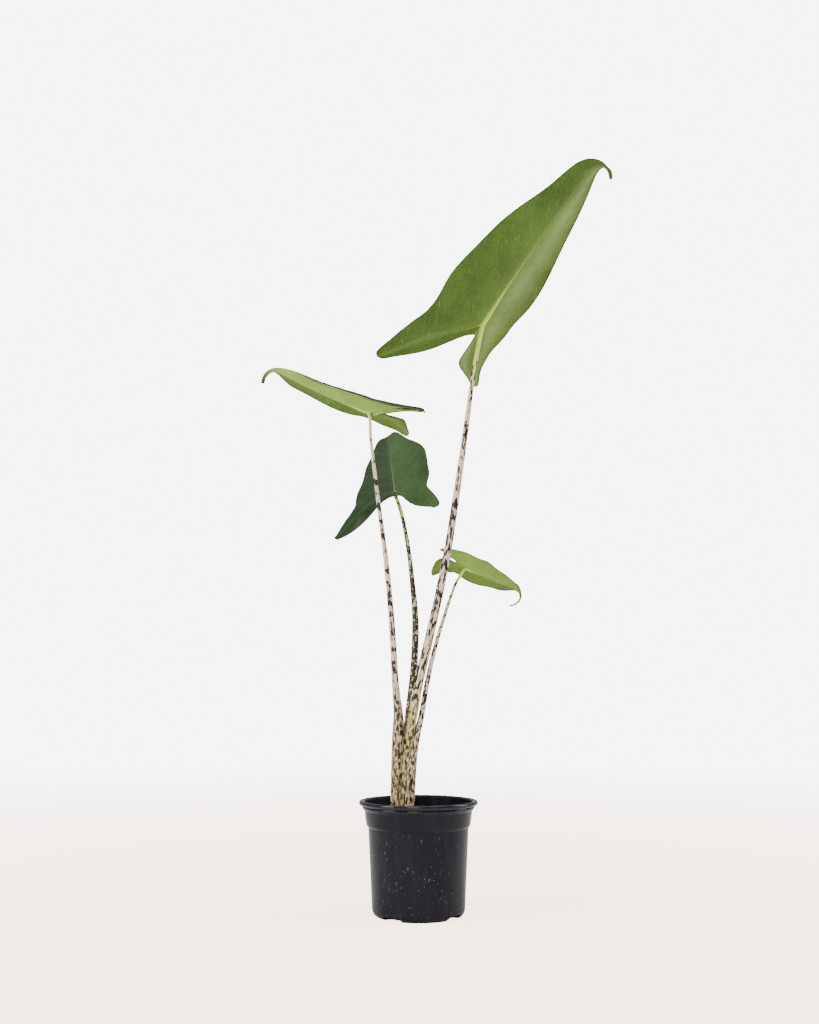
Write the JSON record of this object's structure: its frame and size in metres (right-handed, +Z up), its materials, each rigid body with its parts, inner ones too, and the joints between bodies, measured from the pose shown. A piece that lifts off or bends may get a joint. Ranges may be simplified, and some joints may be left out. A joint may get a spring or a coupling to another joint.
{
  "type": "potted alocasia",
  "caption": "House plant with upright arrow-shaped leaves on long spotted petioles, growing in soil in a round black plastic nursery pot with drain slots.",
  "frame": {"origin": "centre of the pot's flat base, on the surface that it stands on", "axes": "+Z up along the pot's axis; -Y is the front, the side seen with the tall leaf leaning to the right; +X to the right of that view"},
  "size_m": [0.393, 0.2944, 0.8165],
  "materials": {
    "black_plastic": "thin moulded black plastic with a satin sheen, faint scuffs and dried water marks",
    "peat_soil": "loose dark peat and bark crumbs",
    "corm_skin": "dull brown fibrous skin",
    "petiole_skin_tall": "pinkish cream stalk with dark brown slanted bands, smooth and slightly waxy",
    "petiole_skin_left": "pinkish cream stalk with dark brown slanted bands, plain green at the top",
    "petiole_skin_back": "green stalk with dense dark mottling",
    "petiole_skin_low": "pinkish cream stalk with dark brown slanted bands",
    "leaf_skin_tall": "smooth leathery leaf, satin dark green above and paler green below, with pale ribs",
    "leaf_skin_left": "smooth leathery leaf, satin dark green above and paler green below, with pale ribs",
    "leaf_skin_back": "smooth leathery leaf, satin dark green above and paler green below, with pale ribs",
    "leaf_skin_low": "smooth leathery leaf, satin dark green above and paler green below, with pale ribs"
  },
  "bodies": {
    "root": {"nursery_pot": "black_plastic", "potting_soil": "peat_soil", "corm": "corm_skin", "petiole_tall": "petiole_skin_tall", "petiole_left": "petiole_skin_left", "petiole_back": "petiole_skin_back", "petiole_low": "petiole_skin_low", "leaf_blade_tall": "leaf_skin_tall", "leaf_blade_left": "leaf_skin_left", "leaf_blade_back": "leaf_skin_back", "leaf_blade_low": "leaf_skin_low"}
  },
  "joints": []
}
